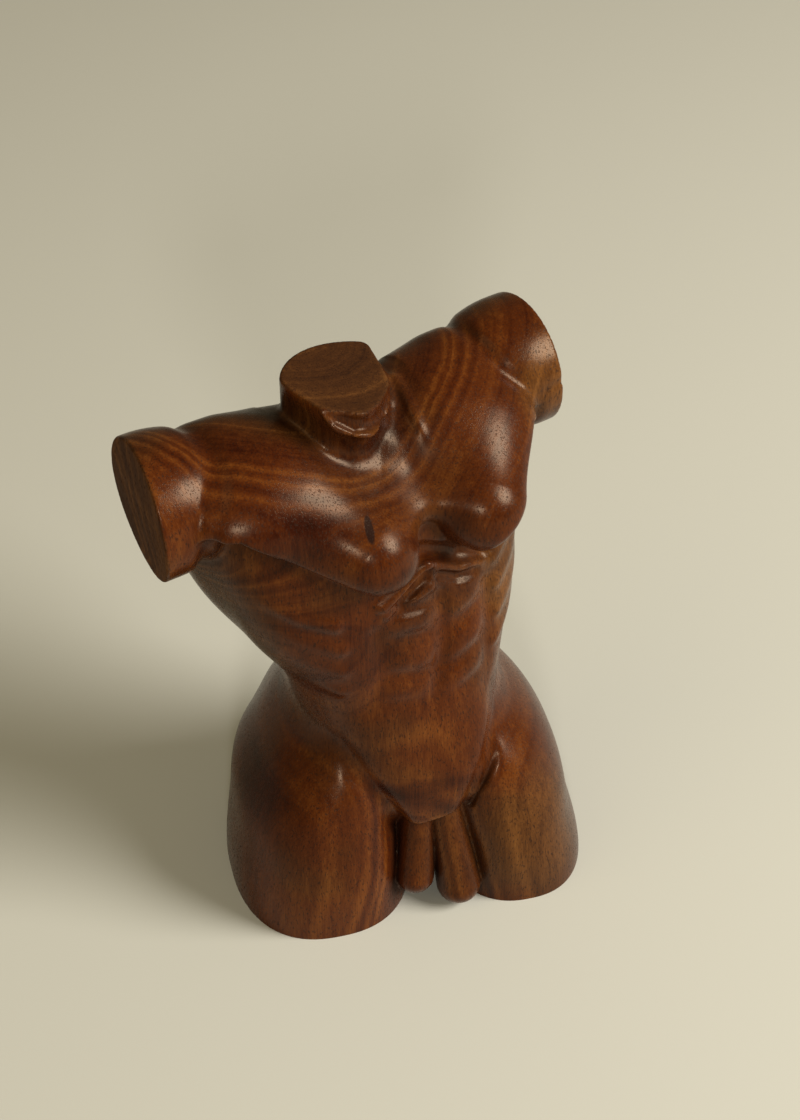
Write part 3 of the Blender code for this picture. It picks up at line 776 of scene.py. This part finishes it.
def settle(points):
    """Moves points of the skin onto the true surface."""
    for _ in range(SETTLES):
        slope = slope_at(points, SLOPE_REACH)
        size = np.maximum((slope * slope).sum(1), 0.2)
        move = -(field_at(points) / size)[:, None] * slope
        points = points + np.clip(move, -MOST_MOVE, MOST_MOVE)
    return points


def shut_in(points, side, reaches):
    """How much the wood, for side 1, or the air, for side -1, closes in around each point of the skin."""
    slope = slope_at(points, WAY_OUT_REACH)
    out = side * slope / np.maximum(np.linalg.norm(slope, axis=1), 1e-3)[:, None]
    shut = np.zeros(len(points), np.float32)
    for reach in reaches:
        shut += np.clip(1 - side * field_at(points + out * reach) / reach, 0, 1) / len(reaches)
    return shut


def on_cut(points):
    """1 on the flat cuts of the arms and the neck."""
    q = straighten(points.T)
    near = np.abs(q[2] + NECK_SLOPE * q[0] - NECK_CUT) + np.maximum(neck(q), 0)
    for side, (out, back, up), axis, length in zip((-1, 1), ARM_ENDS, ARMS, ARM_CUTS):
        end = (out * q[0] * side + back * q[1] + up * (q[2] - axis[1])) / math.hypot(out, back, up)
        near = np.minimum(near, np.abs(end - length))
    return (near < ON_CUT).astype(np.float32)


def corners_of(mesh):
    points = np.empty(len(mesh.vertices) * 3, np.float32)
    mesh.vertices.foreach_get("co", points)
    return points.reshape(-1, 3)


def add_value(mesh, name, values):
    """Gives each corner of a mesh a number under a name."""
    mesh.attributes.new(name, "FLOAT", "POINT").data.foreach_set("value", values)


def thin_out(obj, ratio):
    """Leaves an object's mesh with fewer facets, most of them where it curves, and returns the mesh."""
    fewer = obj.modifiers.new("fewer facets", "DECIMATE")
    fewer.ratio = ratio
    bpy.context.view_layer.update()
    graph = bpy.context.evaluated_depsgraph_get()
    mesh = bpy.data.meshes.new_from_object(obj.evaluated_get(graph))
    obj.modifiers.clear()
    obj.data = mesh
    return mesh


def add_torso():
    """The figure's skin, finer than the solid that it stands for."""
    corners, quads = skin(figure, CELL)
    full_mesh = bpy.data.meshes.new("torso_skin")
    full_mesh.from_pydata(settle(corners).tolist(), [], quads.tolist())
    obj = bpy.data.objects.new("torso_skin", full_mesh)
    bpy.context.scene.collection.objects.link(obj)
    mesh = thin_out(obj, min(1, MOST_FACETS / (2 * len(quads))))
    saw_flat(mesh)
    points = corners_of(mesh)
    # painted shade: how closed in each corner is, which darkens the hollows and makes them duller
    add_value(mesh, "hollow", shut_in(points, 1, HOLLOW_REACHES))
    add_value(mesh, "worn", shut_in(points, -1, WORN_REACHES))
    add_value(mesh, "cut", on_cut(points))
    mesh.transform(Matrix.Scale(UNIT, 4) @ Matrix.Translation((-MIDDLE[0], -MIDDLE[1], 0)))
    mesh.shade_smooth()
    mesh.set_sharp_from_angle(angle=SHARP)
    mesh.materials.append(oiled_wood())
    return obj


def saw_flat(mesh):
    """Cuts the thighs off flat at the floor."""
    form = bmesh.new()
    form.from_mesh(mesh)
    everything = form.verts[:] + form.edges[:] + form.faces[:]
    bmesh.ops.bisect_plane(form, geom=everything, plane_co=(0, 0, 0), plane_no=(0, 0, -1), clear_outer=True)
    rim = [edge for edge in form.edges if edge.is_boundary]
    bmesh.ops.holes_fill(form, edges=rim)
    bmesh.ops.triangulate(form, faces=form.faces[:])
    form.to_mesh(mesh)
    form.free()


def placed(shares):
    """A place in shares, in the part's own frame and in metres."""
    return Vector((shares[0] - MIDDLE[0], shares[1] - MIDDLE[1], shares[2])) * UNIT


def towards(azimuth, elevation):
    """The way from the figure to a place at an azimuth, from -y towards +x, and an elevation."""
    level = math.cos(elevation)
    return Vector((math.sin(azimuth) * level, -math.cos(azimuth) * level, math.sin(elevation)))


def add_camera():
    data = bpy.data.cameras.new("camera")
    data.sensor_fit = "VERTICAL"
    data.sensor_height = SENSOR
    data.lens = CAMERA_LENS
    camera = bpy.data.objects.new("camera", data)
    bpy.context.scene.collection.objects.link(camera)
    back = towards(CAMERA_AZIMUTH, CAMERA_ELEVATION)
    camera.location = placed(CAMERA_AIM) + back * CAMERA_AWAY * UNIT
    camera.rotation_euler = (-back).to_track_quat("-Z", "Y").to_euler()
    bpy.context.scene.camera = camera


def add_light(name, azimuth, elevation, away, size, power, colour):
    """A round, soft light that points at the figure."""
    data = bpy.data.lights.new(name, "AREA")
    data.shape = "DISK"
    data.size = size
    data.energy = power
    data.color = colour
    light = bpy.data.objects.new(name, data)
    bpy.context.scene.collection.objects.link(light)
    back = towards(math.radians(azimuth), math.radians(elevation))
    light.location = Vector(LIGHTS_AIM) + back * away
    light.rotation_euler = (-back).to_track_quat("-Z", "Y").to_euler()


def add_floor():
    """A wide, even sheet of paper under the figure."""
    mesh = bpy.data.meshes.new("floor")
    corners = [(x * FLOOR_HALF, y * FLOOR_HALF, 0) for x, y in ((-1, -1), (1, -1), (1, 1), (-1, 1))]
    mesh.from_pydata(corners, [], [(0, 1, 2, 3)])
    floor = bpy.data.objects.new("floor", mesh)
    bpy.context.scene.collection.objects.link(floor)
    mesh.materials.append(plain("paper", FLOOR_COLOUR, FLOOR_ROUGHNESS))
    return floor


def add_surround():
    """A dim, warm light from all round."""
    world = bpy.data.worlds.new("surround")
    bpy.context.scene.world = world
    world.use_nodes = True
    background = world.node_tree.nodes["Background"]
    background.inputs["Color"].default_value = (*SURROUND_COLOUR, 1)
    background.inputs["Strength"].default_value = SURROUND_STRENGTH


torso = add_torso()
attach(torso, "root")
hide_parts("torso")
add_floor()
add_surround()
for light in LIGHTS:
    add_light(*light)
add_camera()
bpy.context.scene.view_settings.view_transform = "Standard"
